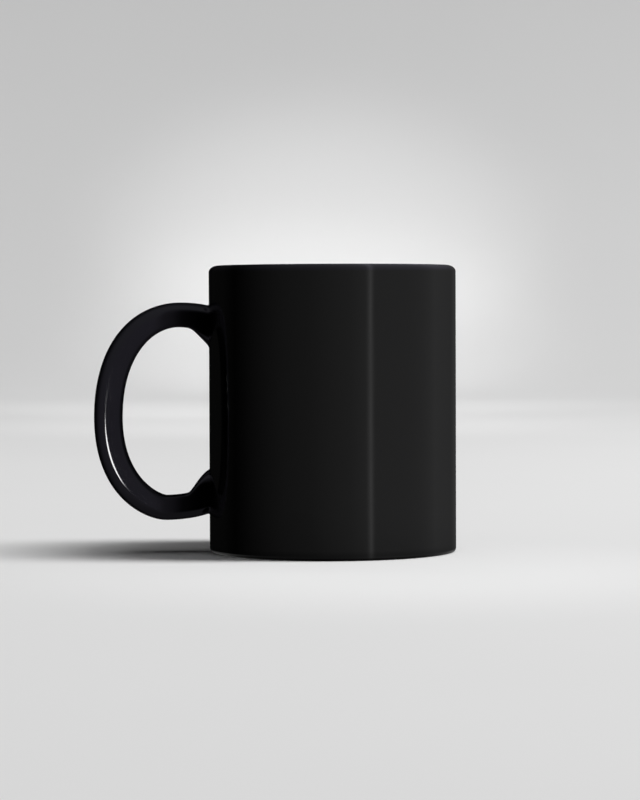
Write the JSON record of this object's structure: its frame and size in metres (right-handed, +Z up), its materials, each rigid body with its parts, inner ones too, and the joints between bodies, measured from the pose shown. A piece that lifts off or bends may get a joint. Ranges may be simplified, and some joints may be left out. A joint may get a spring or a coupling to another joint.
{
  "type": "mug",
  "caption": "Straight-sided glazed ceramic mug with a rounded lip, a recessed foot and an ear-shaped loop handle luted to the wall.",
  "frame": {"origin": "middle of the whole footprint, handle included, on the plane that the foot stands on", "axes": "+Z up along the cup's axis, -X from the cup towards the handle, Y across the handle's plane of symmetry"},
  "size_m": [0.1204, 0.082, 0.095],
  "materials": {
    "clay": "matte",
    "outer_glaze": "polished",
    "liner_glaze": "polished"
  },
  "bodies": {
    "root": {"cup_body": "clay", "handle": "clay", "upper_lute": "clay", "lower_lute": "clay", "outer_glaze": "outer_glaze", "liner_glaze": "liner_glaze", "base_glaze": "outer_glaze", "handle_glaze": "outer_glaze"}
  },
  "joints": []
}
